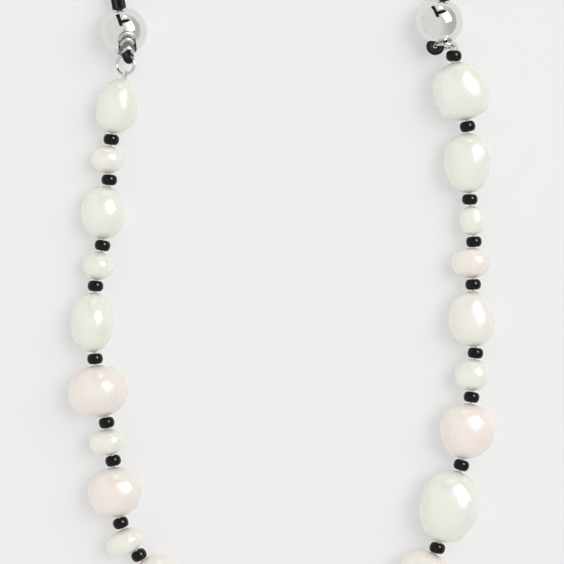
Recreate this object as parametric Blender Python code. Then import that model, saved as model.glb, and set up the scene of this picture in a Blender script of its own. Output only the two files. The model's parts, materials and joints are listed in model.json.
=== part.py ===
"""Pearl eyeglasses chain strap, lying flat on a table.

Two strands of baroque pearls, with one black seed bead between each pair, run up to a split
ring, a rubber temple loop and a chrome slider ball. The rest of the strand is wound into a flat
double coil below them. X is right, Y runs up the strands to the temple loops, Z is up.
"""

import math
from collections import namedtuple

import bmesh
import bpy
from mathutils import Matrix, Vector

MM = 0.001

# Thread and beads, in millimetres
THREAD_DIAMETER = 0.4
THREAD_CLEARANCE = 0.1
SEED_LENGTH = 1.6
SEED_DIAMETER = 2.4
BEAD_GAP = 0.15
PEARL_FLATNESS = 0.92
PEARL_LUMP = 0.035
BEAD_HOLE = 2 * THREAD_DIAMETER + 2 * THREAD_CLEARANCE

# Split ring between the thread and the rubber loop
RING_DIAMETER = 3.4
RING_WIRE = 0.45
RING_CLEARANCE = 0.1
END_LOOP_LENGTH = 0.7
THREAD_TUCK = 1.2
THREAD_EASE = 0.8

# Rubber temple loop and its slider
CORD_DIAMETER = 1.05
LEG_GAP = 0.06
BALL_DIAMETER = 7.2
BALL_STANDOFF = 0.15
NOTCH_SETBACK = 0.5
SLEEVE_WALL = 0.2
SLEEVE_LENGTH = 5.6
SLIDE_CLEARANCE = 0.08
FIT_CLEARANCE = 0.08
SLIDE_TRAVEL = 8.0
EYE_WIDTH = 8.0
EYE_LENGTH = 14.0

# Flat double coil of the stored strand
COIL_CENTRE = Vector((-20.0, -92.5))
COIL_PITCH = 10.5
COIL_INNER_RADIUS = 30.0
COIL_JOIN_ANGLE = 34.5
COIL_OUTER_TURN = 257.0
COIL_SIDES = 8

# Points where the two strands leave the coil, and the way they run there
LEFT_START = Vector((-21.7, -41.4))
LEFT_START_HEADING = 35.6
RIGHT_START = Vector((23.5, -40.24))
RIGHT_START_HEADING = -25.0

ROUND_SIDES = 12
BALL_SEGMENTS = 24
BALL_RINGS = 12
TOP_UP = Vector((0.0, 0.0, 1.0))

# heading: degrees to the left of +Y; length along the thread; width; bulge to the left; finish
Pearl = namedtuple("Pearl", "heading length width shift finish", defaults=("pearl",))

# From the coil outwards
LEFT_PEARLS = [
    Pearl(29.0, 3.75, 5.8, 0.8),
    Pearl(6.9, 7.6, 8.0, 0.25, "rose"),
    Pearl(9.2, 4.0, 5.3, 0.5),
    Pearl(10.3, 7.9, 9.4, 0.4, "rose"),
    Pearl(0.1, 9.15, 6.9, 0.4),
    Pearl(-9.7, 4.35, 5.1, 0.2),
    Pearl(-5.9, 8.1, 6.7, 0.5),
    Pearl(-2.7, 4.25, 5.1, 0.4),
    Pearl(-12.8, 8.45, 6.2, 0.2),
]
RIGHT_PEARLS = [
    Pearl(-16.2, 11.15, 8.6, 0.15),
    Pearl(-8.6, 8.5, 8.0, 0.0, "rose"),
    Pearl(-5.4, 4.8, 5.2, 0.3),
    Pearl(1.9, 8.5, 7.0, 0.3),
    Pearl(-1.2, 4.6, 6.3, 0.35, "rose"),
    Pearl(5.7, 4.55, 3.4, 0.0),
    Pearl(2.0, 9.15, 7.0, 0.15),
    Pearl(11.2, 8.95, 8.2, 0.0),
]
RIGHT_END_SEED_HEADING = -6.0

# How an end lies: heading and roll of the ring, turn along the ring from the side opposite the
# thread to the rubber bend, heading of the rubber loop, and roll of the ball's notch
End = namedtuple("End", "ring_heading ring_roll hook loop_heading notch_roll")
LEFT_END = End(0.0, 66.0, 15.0, 10.5, 9.0)
RIGHT_END = End(90.5, 7.0, 0.0, -9.4, 180.0)

# Pearls of the coil: the first and last ones, and the run that repeats between them
COIL_FIRST = Pearl(0.0, 7.0, 7.0, 0.0, "rose")
COIL_LAST = Pearl(0.0, 7.0, 7.6, 0.0, "rose")
COIL_RUN = [
    Pearl(0.0, 8.0, 7.6, 0.0),
    Pearl(0.0, 4.2, 4.8, 0.0),
    Pearl(0.0, 8.4, 6.8, 0.0),
    Pearl(0.0, 4.6, 5.2, 0.0),
    Pearl(0.0, 7.4, 8.2, 0.0),
    Pearl(0.0, 4.2, 4.8, 0.0),
    Pearl(0.0, 8.8, 6.6, 0.0),
    Pearl(0.0, 4.4, 5.0, 0.0),
]

# Sizes that follow from those above
BALL_RADIUS = BALL_DIAMETER / 2
BALL_FROM_BEND = BALL_RADIUS + BALL_STANDOFF
RING_RADIUS = (RING_DIAMETER - RING_WIRE) / 2
BEND_REACH = CORD_DIAMETER / 2 + RING_WIRE / 2 + RING_CLEARANCE
LEG_OFFSET = CORD_DIAMETER / 2 + LEG_GAP / 2
SLEEVE_INNER = 2 * LEG_OFFSET + CORD_DIAMETER + 2 * SLIDE_CLEARANCE
SLEEVE_OUTER = SLEEVE_INNER + 2 * SLEEVE_WALL
BALL_BORE = SLEEVE_OUTER + 2 * FIT_CLEARANCE
NECK_START = BALL_FROM_BEND - SLEEVE_LENGTH / 2
NECK_END = BALL_FROM_BEND + BALL_RADIUS + SLIDE_TRAVEL
EYE_TIP = NECK_END + EYE_LENGTH
LOOP_FALL = (BALL_RADIUS - CORD_DIAMETER / 2) / (EYE_TIP - BALL_FROM_BEND)
LOOP_DROP = math.degrees(math.asin(LOOP_FALL))
RING_HEIGHT = BALL_RADIUS + BALL_FROM_BEND * LOOP_FALL
PITCH_EXTRA = SEED_LENGTH + 2 * BEAD_GAP


def clear_scene():
    for obj in list(bpy.data.objects):
        bpy.data.objects.remove(obj, do_unlink=True)


def make_material(name, colour, roughness, metallic):
    material = bpy.data.materials.new(name)
    material.use_nodes = True
    shader = material.node_tree.nodes["Principled BSDF"]
    shader.inputs["Base Color"].default_value = (*colour, 1.0)
    shader.inputs["Roughness"].default_value = roughness
    shader.inputs["Metallic"].default_value = metallic
    return material


def direction(heading, slope=0.0):
    """Unit vector that points heading degrees left of +Y and slope degrees up."""
    turn, rise = math.radians(heading), math.radians(slope)
    flat = math.cos(rise)
    return Vector((-math.sin(turn) * flat, math.cos(turn) * flat, math.sin(rise)))


def frame_at(origin, forward, roll=0.0):
    """Matrix whose X runs forward, Y to the left and Z up, rolled about X."""
    left = TOP_UP.cross(forward).normalized()
    up = forward.cross(left)
    turn = Matrix((forward, left, up)).transposed().to_4x4()
    return Matrix.Translation(origin) @ turn @ Matrix.Rotation(math.radians(roll), 4, "X")


def add_object(name, data, matrix, material, parent):
    """Link an object whose data is in metres, at a place that is given in millimetres."""
    obj = bpy.data.objects.new(name, data)
    bpy.context.collection.objects.link(obj)
    data.materials.append(material)
    obj.parent = parent
    obj.matrix_basis = Matrix.Translation(matrix.translation * MM) @ matrix.to_3x3().to_4x4()
    return obj


def finish_mesh(name, bm):
    """Mesh data in metres from a shape that was built in millimetres."""
    bmesh.ops.recalc_face_normals(bm, faces=bm.faces)
    bm.transform(Matrix.Scale(MM, 4))
    mesh = bpy.data.meshes.new(name)
    bm.to_mesh(mesh)
    bm.free()
    mesh.shade_smooth()
    return mesh


def turned(profile, sides):
    """Closed profile of (x, radius) points, spun once round the X axis."""
    bm = bmesh.new()
    verts = [bm.verts.new((x, 0.0, radius)) for x, radius in profile]
    edges = [bm.edges.new((a, b)) for a, b in zip(verts, verts[1:] + verts[:1])]
    bmesh.ops.spin(
        bm,
        geom=verts + edges,
        axis=(1.0, 0.0, 0.0),
        cent=(0.0, 0.0, 0.0),
        angle=2 * math.pi,
        steps=sides,
        use_merge=True,
    )
    return bm


def bead_height(pearl):
    return pearl.width / 2 * PEARL_FLATNESS


def pearl_radius(pearl, u):
    """Half width of a pearl at u, which runs from -1 to 1 along its length."""
    return pearl.width / 2 * max(0.0, 1.0 - abs(u) ** 2.2) ** (1 / 2.1)


def pearl_rim(pearl):
    """The u at which a pearl is as thin as its drilled hole."""
    share = BEAD_HOLE / pearl.width
    return (1.0 - share ** 2.1) ** (1 / 2.2)


def make_pearl(name, pearl, matrix, number, finish, parent):
    """A drilled baroque pearl; its local origin is the hinge before it, half a seed away."""
    rim = pearl_rim(pearl)
    stations = [share * rim for share in (-1.0, -0.88, -0.5, 0.0, 0.5, 0.88, 1.0)]
    half = pearl.length / 2
    profile = [(u * half, max(pearl_radius(pearl, u), BEAD_HOLE / 2)) for u in stations]
    bm = turned(profile, ROUND_SIDES)
    for vert in bm.verts:
        u = vert.co.x / half
        if abs(u) < 0.95 * rim:
            angle = math.atan2(vert.co.z, vert.co.y)
            lump = math.sin(2 * angle + number) + u * math.sin(angle + 2.4 * number)
            vert.co.y = vert.co.y * (1 + PEARL_LUMP * lump) + pearl.shift * (1 - u * u)
            vert.co.z *= PEARL_FLATNESS
        vert.co.x += half + PITCH_EXTRA / 2
    return add_object(name, finish_mesh(name, bm), matrix, finish[pearl.finish], parent)


def make_seed(name, matrix, material, parent):
    half, radius, hole = SEED_LENGTH / 2, SEED_DIAMETER / 2, BEAD_HOLE / 2
    shoulder = hole + 0.45 * (radius - hole)
    profile = [
        (-0.8 * half, hole),
        (-half, shoulder),
        (-0.5 * half, radius),
        (0.5 * half, radius),
        (half, shoulder),
        (0.8 * half, hole),
    ]
    mesh = finish_mesh(name, turned(profile, ROUND_SIDES))
    return add_object(name, mesh, matrix, material, parent)


def make_ring(name, matrix, material, parent):
    """Split ring, standing in the local XZ plane with its near side at the origin."""
    bm = bmesh.new()
    circle = bmesh.ops.create_circle(bm, segments=8, radius=RING_WIRE / 2)["verts"]
    edges = list({edge for vert in circle for edge in vert.link_edges})
    bmesh.ops.spin(
        bm,
        geom=circle + edges,
        axis=(0.0, 1.0, 0.0),
        cent=(RING_RADIUS, 0.0, 0.0),
        angle=2 * math.pi,
        steps=20,
        use_merge=True,
    )
    return add_object(name, finish_mesh(name, bm), matrix, material, parent)


def make_tube(name, points, diameter, closed, matrix, material, parent):
    curve = bpy.data.curves.new(name, "CURVE")
    curve.dimensions = "3D"
    curve.bevel_depth = diameter / 2 * MM
    curve.bevel_resolution = 2
    curve.use_fill_caps = not closed
    spline = curve.splines.new("POLY")
    spline.points.add(len(points) - 1)
    for point, place in zip(spline.points, points):
        point.co = (*(place * MM), 1.0)
    spline.use_cyclic_u = closed
    return add_object(name, curve, matrix, material, parent)


def eased(share):
    """Smooth step from 0 to 1, flat outside that range."""
    share = min(1.0, max(0.0, share))
    return share * share * (3 - 2 * share)


def loop_outline(bend_roll):
    """Closed centre line of the rubber loop along X: bend round the ring, twisted legs, flat eye."""
    half = EYE_WIDTH / 2
    flare = EYE_LENGTH - half
    bend = [math.radians(a) for a in (180, 150, 120, 90)]
    side = [(BEND_REACH * math.cos(a), BEND_REACH * math.sin(a)) for a in bend]
    for share in (0.35, 0.7):
        side.append((NECK_START * share, BEND_REACH + (LEG_OFFSET - BEND_REACH) * eased(share)))
    for step in range(9):
        side.append((NECK_START + (NECK_END - NECK_START) * step / 8, LEG_OFFSET))
    for step in range(1, 7):
        share = step / 6
        side.append((NECK_END + flare * share, LEG_OFFSET + (half - LEG_OFFSET) * eased(share)))
    tip = [math.radians(a) for a in (75, 60, 45, 30, 15, 0)]
    side += [(NECK_END + flare + half * math.cos(a), half * math.sin(a)) for a in tip]
    points = []
    for x, y in side + [(x, -y) for x, y in reversed(side[1:-1])]:
        roll = bend_roll * (1 - eased((x - NECK_START) / (NECK_END - NECK_START)))
        points.append(Vector((x, y * math.cos(roll), y * math.sin(roll))))
    return points


def add_cut(obj, cutter):
    cutter.hide_render = True
    cutter.display_type = "WIRE"
    cut = obj.modifiers.new(cutter.name, "BOOLEAN")
    cut.operation = "DIFFERENCE"
    cut.object = cutter


def make_ball(name, matrix, material, parent):
    """Slider ball: a through bore along X, and a round-ended notch over its strand side."""
    bm = bmesh.new()
    sphere = {"u_segments": BALL_SEGMENTS, "v_segments": BALL_RINGS, "radius": BALL_RADIUS}
    bmesh.ops.create_uvsphere(bm, **sphere)
    ball = add_object(name, finish_mesh(name, bm), matrix, material, parent)
    bm = bmesh.new()
    turn = Matrix.Rotation(math.radians(90), 4, "Y")
    bmesh.ops.create_cone(
        bm,
        cap_ends=True,
        segments=20,
        radius1=BALL_BORE / 2,
        radius2=BALL_BORE / 2,
        depth=2 * BALL_DIAMETER,
        matrix=turn,
    )
    bore = add_object(name + "_bore", finish_mesh(name + "_bore", bm), matrix, material, parent)
    add_cut(ball, bore)
    half = BALL_BORE / 2
    bm = bmesh.new()
    arc = [math.radians(a) for a in range(-90, 91, 18)]
    outline = [(half * (math.cos(a) - 1) - NOTCH_SETBACK, half * math.sin(a)) for a in arc]
    outline += [(-BALL_DIAMETER, half), (-BALL_DIAMETER, -half)]
    floor = bm.faces.new([bm.verts.new((x, y, 0.0)) for x, y in outline])
    wall = bmesh.ops.extrude_face_region(bm, geom=[floor])["geom"]
    top = [item for item in wall if isinstance(item, bmesh.types.BMVert)]
    bmesh.ops.translate(bm, verts=top, vec=(0.0, 0.0, BALL_DIAMETER))
    notch = add_object(name + "_notch", finish_mesh(name + "_notch", bm), matrix, material, parent)
    add_cut(ball, notch)
    return ball


def make_sleeve(name, matrix, material, parent):
    half = SLEEVE_LENGTH / 2
    profile = [
        (-half, SLEEVE_INNER / 2),
        (-half, SLEEVE_OUTER / 2),
        (half, SLEEVE_OUTER / 2),
        (half, SLEEVE_INNER / 2),
    ]
    return add_object(name, finish_mesh(name, turned(profile, 20)), matrix, material, parent)


def smooth_run(start, start_way, end, end_way, steps=12):
    """Cubic from start to end that leaves and arrives along the two ways, without its end."""
    reach = (end - start).length
    points = []
    for step in range(steps):
        t = step / steps
        a, b = 2 * t**3 - 3 * t**2 + 1, t**3 - 2 * t**2 + t
        c, d = 3 * t**2 - 2 * t**3, t**3 - t**2
        points.append(a * start + b * reach * start_way + c * end + d * reach * end_way)
    return points


def coil_path():
    """Flat path from the left strand's start, round the double coil, to the right one's start."""
    join = math.radians(COIL_JOIN_ANGLE)
    outer = math.radians(COIL_OUTER_TURN)
    begin = join + 2 * math.pi - outer
    step = math.radians(6)

    def around(centre, radius, angle):
        return centre + radius * Vector((math.cos(angle), math.sin(angle)))

    def arm_points(last, phase):
        count = max(2, round(last / step))
        turns = [last * k / count for k in range(count + 1)]
        radii = [COIL_INNER_RADIUS + COIL_PITCH * turn / math.pi for turn in turns]
        return [around(COIL_CENTRE, radius, begin + phase + turn) for radius, turn in zip(radii, turns)]

    left_arm = arm_points(outer - math.pi, math.pi)
    right_arm = arm_points(outer, 0.0)
    small = COIL_INNER_RADIUS / 2
    turns = [math.pi * k / 18 for k in range(1, 18)]
    first_centre = around(COIL_CENTRE, -small, begin)
    second_centre = around(COIL_CENTRE, small, begin)
    first = [around(first_centre, small, begin + math.pi - turn) for turn in turns]
    second = [around(second_centre, small, begin + math.pi + turn) for turn in turns]
    inward = Vector((math.sin(join), -math.cos(join)))
    left_way = -direction(LEFT_START_HEADING).to_2d()
    right_way = -direction(RIGHT_START_HEADING).to_2d()
    left_run = smooth_run(LEFT_START, left_way, left_arm[-1], inward)
    right_run = smooth_run(RIGHT_START, right_way, right_arm[-1], inward)
    middle = first + [COIL_CENTRE.copy()] + second
    return left_run + left_arm[::-1] + middle + right_arm + right_run[::-1]


class Path:
    """Flat polyline that is read by the distance along it."""

    def __init__(self, points):
        self.points = points
        self.marks = [0.0]
        for a, b in zip(points, points[1:]):
            self.marks.append(self.marks[-1] + (b - a).length)
        self.length = self.marks[-1]

    def at(self, distance):
        """Point and unit direction at a distance from the start."""
        k = 1
        while k < len(self.marks) - 1 and self.marks[k] < distance:
            k += 1
        a, b = self.points[k - 1], self.points[k]
        share = (distance - self.marks[k - 1]) / (self.marks[k] - self.marks[k - 1])
        return a.lerp(b, share), (b - a).normalized()


def coil_pearls(length):
    """Pearls that fill the coil, with lengths eased so that they end exactly at its end."""
    pearls = [COIL_FIRST]
    used = COIL_FIRST.length + COIL_LAST.length + 2 * PITCH_EXTRA
    k = 0
    while used + COIL_RUN[k % len(COIL_RUN)].length / 2 + PITCH_EXTRA < length:
        pearls.append(COIL_RUN[k % len(COIL_RUN)])
        used += pearls[-1].length + PITCH_EXTRA
        k += 1
    pearls.append(COIL_LAST)
    beads = sum(p.length for p in pearls)
    ease = (length - len(pearls) * PITCH_EXTRA) / beads
    return [p._replace(length=p.length * ease) for p in pearls]


def hinge_heights(pearls, first, last):
    """Thread height at each seed: a taut thread is carried by the larger pearl beside it."""
    heights = [first] + [bead_height(p) for p in pearls] + [last]
    return [max(a, b) for a, b in zip(heights, heights[1:])]


def make_coil(path, pearls, heights, material, parent):
    """One closed solid of the coiled beads, from the seed after the first pearl to the last one."""
    hinges = [0.0]
    for pearl in pearls:
        hinges.append(hinges[-1] + pearl.length + PITCH_EXTRA)
    stations = []
    for k in range(1, len(pearls)):
        for end in (-0.5, 0.5):
            stations.append((hinges[k] + end * SEED_LENGTH, heights[k], SEED_DIAMETER / 2))
        if k == len(pearls) - 1:
            break
        pearl = pearls[k]
        middle = (hinges[k] + hinges[k + 1]) / 2
        for u in (-0.9, -0.4, 0.4, 0.9):
            height = heights[k] + (heights[k + 1] - heights[k]) * (1 + u) / 2
            stations.append((middle + u * pearl.length / 2, height, pearl_radius(pearl, u)))
    bm = bmesh.new()
    rings = []
    for distance, height, radius in stations:
        place, way = path.at(distance)
        left = Vector((-way.y, way.x))
        ring = []
        for k in range(COIL_SIDES):
            angle = 2 * math.pi * k / COIL_SIDES
            flat = place + left * radius * math.cos(angle)
            ring.append(bm.verts.new((*flat, height + radius * PEARL_FLATNESS * math.sin(angle))))
        rings.append(ring)
    for a, b in zip(rings, rings[1:]):
        for k in range(COIL_SIDES):
            n = (k + 1) % COIL_SIDES
            bm.faces.new((a[k], a[n], b[n], b[k]))
    bm.faces.new(rings[0])
    bm.faces.new(rings[-1])
    return add_object("coiled_strand", finish_mesh("coiled_strand", bm), Matrix(), material, parent)


def make_strand(side, start, pearls, first_height, finish, parent):
    """Beads from the coil outwards. Returns the thread's points, the last pearl's end and its way."""
    heights = hinge_heights(pearls, first_height, RING_HEIGHT)
    place = start.to_3d()
    place.z = heights[0]
    points = [place.copy()]
    for k, pearl in enumerate(pearls):
        number = len(pearls) - k
        pitch = pearl.length + PITCH_EXTRA
        slope = math.degrees(math.asin((heights[k + 1] - heights[k]) / pitch))
        way = direction(pearl.heading, slope)
        before = way if k == 0 else direction(pearls[k - 1].heading)
        seed_way = (before + way).normalized()
        make_seed(f"{side}_seed_{number:02d}", frame_at(place, seed_way), finish["seed"], parent)
        make_pearl(f"{side}_pearl_{number:02d}", pearl, frame_at(place, way), number, finish, parent)
        place = place + way * pitch
        points.append(place.copy())
    return points, place - way * (PITCH_EXTRA / 2), way


def make_end(side, bead_end, way, thread, end, finish, parent):
    """Thread loop, split ring, rubber loop, sleeve and slider ball at one end of the strap."""
    near = bead_end + way * END_LOOP_LENGTH
    hook = math.radians(end.hook)
    hook_rise = math.sin(hook) * math.cos(math.radians(end.ring_roll))
    slope = ((RING_HEIGHT - near.z) / RING_RADIUS - hook_rise) / (1 + math.cos(hook))
    ring_way = direction(end.ring_heading, math.degrees(math.asin(slope)))
    ring_frame = frame_at(near, ring_way, end.ring_roll)
    make_ring(f"{side}_split_ring", ring_frame, finish["chrome"], parent)

    wire_way = ring_frame.to_3x3() @ TOP_UP
    aside = wire_way.cross(way).normalized()
    snug = THREAD_DIAMETER / 2 + THREAD_CLEARANCE / 4
    wide = RING_WIRE / 2 + THREAD_DIAMETER / 2 + THREAD_CLEARANCE
    inside = bead_end - way * THREAD_TUCK
    thread += [inside - way * THREAD_EASE, inside + aside * snug, bead_end + aside * snug]
    for angle in (90, 60, 30, 0, -30, -60, -90):
        turn = math.radians(angle)
        thread.append(near + wide * (way * math.cos(turn) + aside * math.sin(turn)))
    thread += [bead_end - aside * snug, inside - aside * snug]
    make_tube(f"{side}_thread", thread, THREAD_DIAMETER, False, Matrix(), finish["thread"], parent)

    far = ring_frame @ (RING_RADIUS * Vector((1 + math.cos(hook), 0.0, math.sin(hook))))
    hooked_way = ring_frame.to_3x3() @ Vector((-math.sin(hook), 0.0, math.cos(hook)))
    loop_way = direction(end.loop_heading, -LOOP_DROP)
    loop_frame = frame_at(far, loop_way)
    lean = loop_frame.to_3x3().inverted() @ hooked_way
    outline = loop_outline(math.atan2(-lean.y, lean.z))
    loop_name = f"{side}_temple_loop"
    make_tube(loop_name, outline, CORD_DIAMETER, True, loop_frame, finish["rubber"], parent)
    centre = far + loop_way * BALL_FROM_BEND
    ball_frame = frame_at(centre, loop_way, end.notch_roll)
    make_ball(f"{side}_slider_ball", ball_frame, finish["chrome"], parent)
    make_sleeve(f"{side}_slider_sleeve", frame_at(centre, loop_way), finish["chrome"], parent)


def centre_on_table(parent):
    """Move the whole strap so that the middle of its box is over the origin."""
    bpy.context.view_layer.update()
    graph = bpy.context.evaluated_depsgraph_get()
    corners = []
    for obj in bpy.data.objects:
        if obj.type == "EMPTY" or obj.hide_render:
            continue
        shape = obj.evaluated_get(graph)
        mesh = shape.to_mesh()
        corners += [shape.matrix_world @ vert.co for vert in mesh.vertices]
        shape.to_mesh_clear()
    low = [min(corner[k] for corner in corners) for k in range(3)]
    high = [max(corner[k] for corner in corners) for k in range(3)]
    parent.location = (-(low[0] + high[0]) / 2, -(low[1] + high[1]) / 2, -low[2])
    bpy.context.view_layer.update()


def main():
    clear_scene()
    strap = bpy.data.objects.new("strap", None)
    bpy.context.collection.objects.link(strap)
    finish = {
        "pearl": make_material("pearl", (0.80, 0.79, 0.71), 0.22, 0.0),
        "rose": make_material("rose_pearl", (0.85, 0.75, 0.69), 0.22, 0.0),
        "seed": make_material("black_glass", (0.01, 0.01, 0.012), 0.12, 0.0),
        "chrome": make_material("chrome", (0.80, 0.80, 0.80), 0.08, 1.0),
        "rubber": make_material("black_rubber", (0.015, 0.015, 0.015), 0.55, 0.0),
        "thread": make_material("thread", (0.82, 0.80, 0.74), 0.6, 0.0),
    }

    path = Path(coil_path())
    stored = coil_pearls(path.length)
    heights = hinge_heights(stored, bead_height(LEFT_PEARLS[0]), bead_height(RIGHT_PEARLS[0]))
    make_coil(path, stored, heights, finish["pearl"], strap)

    ends = [
        ("left", LEFT_START, LEFT_PEARLS, LEFT_END, stored[0], heights[:2], 0.0),
        ("right", RIGHT_START, RIGHT_PEARLS, RIGHT_END, stored[-1], heights[:-3:-1], path.length),
    ]
    for side, start, pearls, end, inner, hinge, mark in ends:
        pitch = inner.length + PITCH_EXTRA
        inner_place = path.at(abs(mark - pitch))[0].to_3d()
        inner_place.z = hinge[1]
        outer_place = start.to_3d()
        outer_place.z = hinge[0]
        inner_way = (outer_place - inner_place).normalized()
        number = len(pearls) + 1
        inner_frame = frame_at(outer_place - inner_way * pitch, inner_way)
        make_pearl(f"{side}_pearl_{number:02d}", inner, inner_frame, number, finish, strap)
        points, bead_end, way = make_strand(side, start, pearls, bead_height(inner), finish, strap)
        thread = [inner_place + inner_way * (PITCH_EXTRA / 2)] + points[:-1]
        if side == "right":
            place = points[-1]
            thread.append(place - way * PITCH_EXTRA)
            way = direction(RIGHT_END_SEED_HEADING)
            make_seed("right_end_seed", frame_at(place, way), finish["seed"], strap)
            bead_end = place + way * (SEED_LENGTH / 2)
        make_end(side, bead_end, way, thread, end, finish, strap)
    centre_on_table(strap)


main()
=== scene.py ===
import json
import math
import random

import bmesh
import bpy
from mathutils import Matrix, Vector


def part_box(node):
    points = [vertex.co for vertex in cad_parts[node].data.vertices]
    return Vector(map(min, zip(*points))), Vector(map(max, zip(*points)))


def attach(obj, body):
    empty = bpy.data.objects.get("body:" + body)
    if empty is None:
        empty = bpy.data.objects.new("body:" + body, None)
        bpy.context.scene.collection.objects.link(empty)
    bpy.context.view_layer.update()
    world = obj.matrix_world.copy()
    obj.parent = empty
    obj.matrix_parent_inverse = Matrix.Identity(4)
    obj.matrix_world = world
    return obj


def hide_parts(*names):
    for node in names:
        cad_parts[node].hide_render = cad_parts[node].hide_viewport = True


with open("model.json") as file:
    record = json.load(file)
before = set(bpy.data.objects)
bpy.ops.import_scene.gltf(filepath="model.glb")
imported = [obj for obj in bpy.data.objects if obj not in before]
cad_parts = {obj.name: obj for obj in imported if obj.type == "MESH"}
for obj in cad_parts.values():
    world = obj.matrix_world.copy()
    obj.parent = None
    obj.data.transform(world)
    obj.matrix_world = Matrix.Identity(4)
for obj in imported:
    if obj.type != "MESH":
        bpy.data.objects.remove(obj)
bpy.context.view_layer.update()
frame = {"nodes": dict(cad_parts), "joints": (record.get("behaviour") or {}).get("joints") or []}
joints = {joint["name"]: joint for joint in frame["joints"]}
MM = 0.001

# Pearls
# Freshwater pearls of baroque form: solid lumps of nacre, never quite round, with shallow dents.
# Each is drilled from end to end and strung between two black seed beads.
PEARL_SEGMENTS = 56
PEARL_RINGS = 40
DRILL_DEPTH = 0.78
DENT_DEPTH = 0.55 * MM
DENT_SIZE = 5.5 * MM
RIPPLE_DEPTH = 0.07 * MM
RIPPLE_SIZE = 1.6 * MM
STRAND_LENGTH = {"left": 9, "right": 8}
TIED_TO = {"left": "left_ring_lift", "right": "right_end_swing"}
STORED_BODY = "stored_strand"

# fullness towards a box, taper towards the ring end, tint
PEARL_FORMS = {
    "left_pearl_01": (0.02, -0.20, "ivory"),
    "left_pearl_02": (0.04, 0.00, "cream"),
    "left_pearl_03": (0.06, 0.05, "ivory"),
    "left_pearl_04": (0.04, 0.00, "ivory"),
    "left_pearl_05": (0.02, 0.08, "ivory"),
    "left_pearl_06": (0.06, 0.02, "rose"),
    "left_pearl_07": (0.05, 0.00, "cream"),
    "left_pearl_08": (0.07, 0.00, "rose"),
    "left_pearl_09": (0.05, 0.00, "cream"),
    "left_pearl_10": (0.05, 0.00, "rose"),
    "right_pearl_01": (0.16, 0.00, "ivory"),
    "right_pearl_02": (0.08, 0.10, "ivory"),
    "right_pearl_03": (0.14, 0.00, "ivory"),
    "right_pearl_04": (0.06, 0.00, "rose"),
    "right_pearl_05": (0.06, -0.06, "cream"),
    "right_pearl_06": (0.05, 0.00, "ivory"),
    "right_pearl_07": (0.07, 0.04, "rose"),
    "right_pearl_08": (0.05, 0.05, "ivory"),
    "right_pearl_09": (0.05, 0.00, "rose"),
}


def add_node(tree, kind, inputs=None, **settings):
    """A shader node with its settings and its unlinked input values."""
    node = tree.nodes.new(kind)
    for name, value in settings.items():
        setattr(node, name, value)
    for name, value in (inputs or {}).items():
        node.inputs[name].default_value = value
    return node


def new_group(name, inputs, outputs):
    """An empty shader node group with named sockets, and its two end nodes."""
    group = bpy.data.node_groups.new(name, "ShaderNodeTree")
    for label, kind in inputs.items():
        group.interface.new_socket(label, in_out="INPUT", socket_type=kind)
    for label, kind in outputs.items():
        group.interface.new_socket(label, in_out="OUTPUT", socket_type=kind)
    return group, group.nodes.new("NodeGroupInput"), group.nodes.new("NodeGroupOutput")


def surface_noise(tree, scale, detail, roughness=0.5):
    """Noise over a surface, in the object's own coordinates."""
    place = add_node(tree, "ShaderNodeTexCoord")
    values = {"Scale": scale, "Detail": detail, "Roughness": roughness}
    noise = add_node(tree, "ShaderNodeTexNoise", values)
    tree.links.new(place.outputs["Object"], noise.inputs["Vector"])
    return noise.outputs["Fac"]


def nacre_layers():
    """Cloudy overtone, fine growth lines and a softly uneven gloss, for every pearl."""
    sockets = {"Colour": "NodeSocketColor", "Roughness": "NodeSocketFloat", "Height": "NodeSocketFloat"}
    tints = {"Body": "NodeSocketColor", "Overtone": "NodeSocketColor"}
    group, given, result = new_group("nacre_layers", tints, sockets)
    link = group.links.new
    clouds = surface_noise(group, 210.0, 2.0, 0.45)
    grain = surface_noise(group, 1300.0, 4.0, 0.6)
    place = add_node(group, "ShaderNodeTexCoord")
    growth = add_node(group, "ShaderNodeTexWave", {"Scale": 260.0, "Distortion": 9.0, "Detail": 2.0})
    link(place.outputs["Object"], growth.inputs["Vector"])
    share = add_node(group, "ShaderNodeMapRange", {"From Min": 0.36, "From Max": 0.66})
    link(clouds, share.inputs["Value"])
    tint = add_node(group, "ShaderNodeMix", data_type="RGBA")
    link(share.outputs["Result"], tint.inputs["Factor"])
    link(given.outputs["Body"], tint.inputs["A"])
    link(given.outputs["Overtone"], tint.inputs["B"])
    link(tint.outputs["Result"], result.inputs["Colour"])
    gloss = add_node(
        group, "ShaderNodeMapRange", {"From Min": 0.3, "From Max": 0.7, "To Min": 0.19, "To Max": 0.22}
    )
    link(grain, gloss.inputs["Value"])
    link(gloss.outputs["Result"], result.inputs["Roughness"])
    lines = add_node(group, "ShaderNodeMath", {1: 0.12}, operation="MULTIPLY")
    link(growth.outputs["Fac"], lines.inputs[0])
    relief = add_node(group, "ShaderNodeMath", operation="ADD")
    link(lines.outputs["Value"], relief.inputs[0])
    link(clouds, relief.inputs[1])
    link(relief.outputs["Value"], result.inputs["Height"])
    return group


def new_material(name, values):
    """A material with its Principled shader's plain values set; returns tree and shader too."""
    material = bpy.data.materials.new(name)
    material.use_nodes = True
    shader = material.node_tree.nodes["Principled BSDF"]
    for label, value in values.items():
        shader.inputs[label].default_value = value
    return material, material.node_tree, shader


def add_bump(tree, shader, height, depth, strength):
    bump = add_node(tree, "ShaderNodeBump", {"Distance": depth, "Strength": strength})
    tree.links.new(height, bump.inputs["Height"])
    tree.links.new(bump.outputs["Normal"], shader.inputs["Normal"])


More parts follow.
